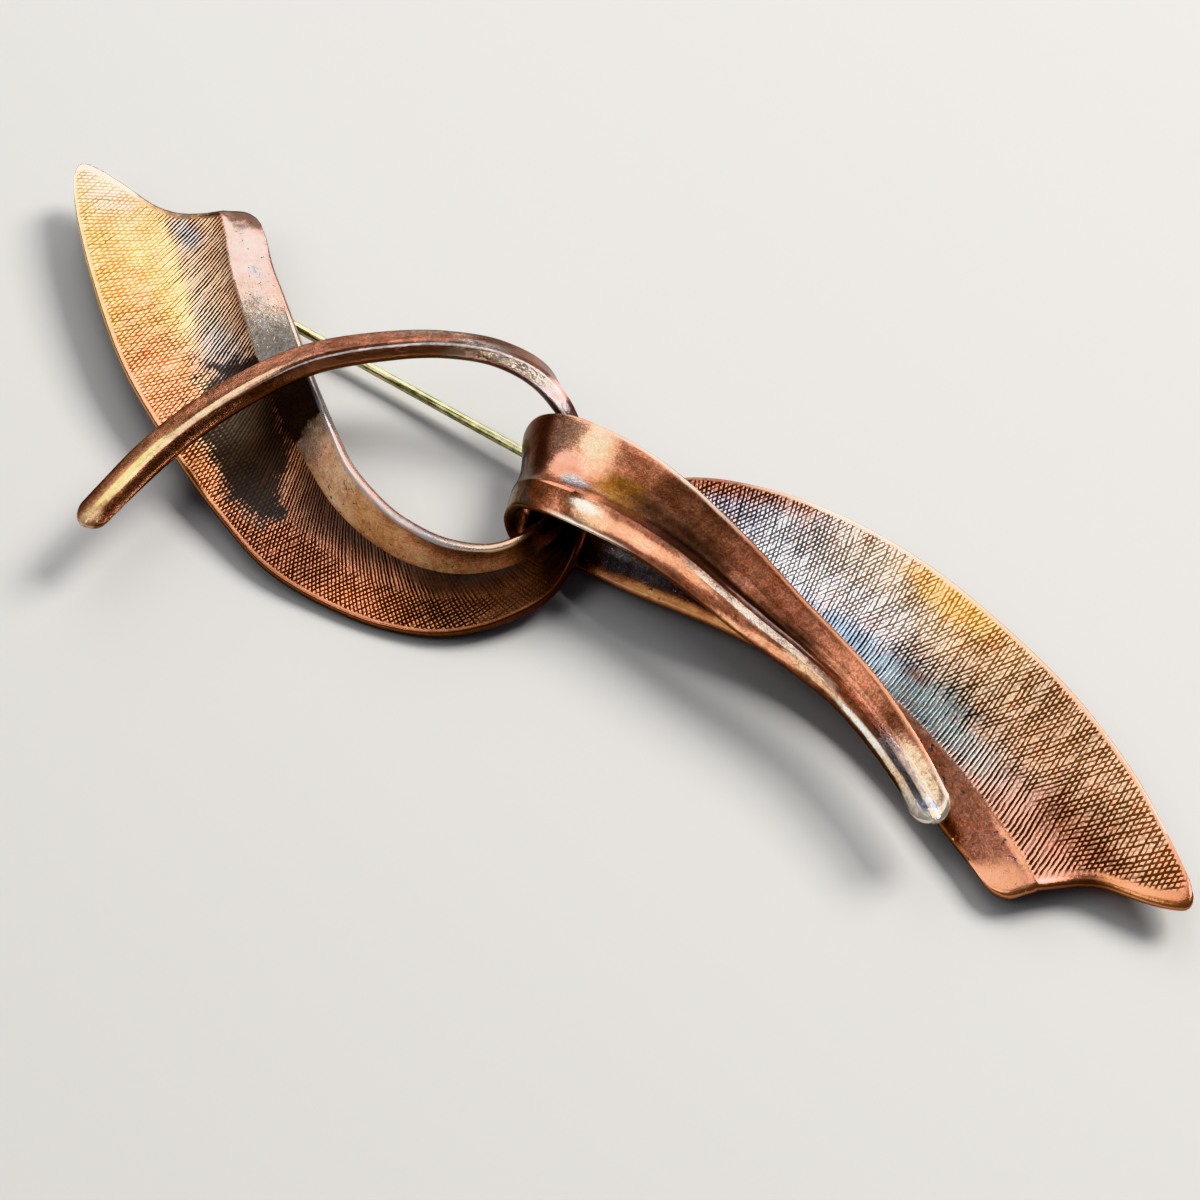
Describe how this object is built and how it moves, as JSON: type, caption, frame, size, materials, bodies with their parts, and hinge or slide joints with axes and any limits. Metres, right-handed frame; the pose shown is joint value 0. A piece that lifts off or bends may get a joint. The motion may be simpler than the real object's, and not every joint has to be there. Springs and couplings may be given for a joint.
{
  "type": "abstract brooch",
  "caption": "Long abstract copper brooch of interlocking folded ribbons with crosshatched crescent blades, curled tails and a hinged brass pin behind.",
  "frame": {"origin": "under the middle of the outline, on the plane that the brooch rests on when it lies face up", "axes": "+X along the brooch towards the right blade's free end, +Y across it towards the right blade's outer edge, +Z out of the face"},
  "size_m": [0.1105, 0.0388, 0.0083],
  "materials": {
    "left_copper": "aged copper, crosshatched and darkened in the hollows, burnished on the rims",
    "right_copper": "aged copper, crosshatched and darkened in the hollows, burnished on the rims",
    "pin_brass": "smooth drawn brass wire"
  },
  "bodies": {
    "brooch": {"left_ribbon": "left_copper", "right_ribbon": "right_copper"},
    "pin": {"pin_stem": "pin_brass"}
  },
  "joints": [
    {"name": "pin_hinge", "type": "hinge", "parent": "brooch", "child": "pin", "pos_m": [-0.03732, 0.00738, 0.0013], "axis": [-0.0786, 0.9364, -0.342], "range_deg": [0, 60]}
  ]
}
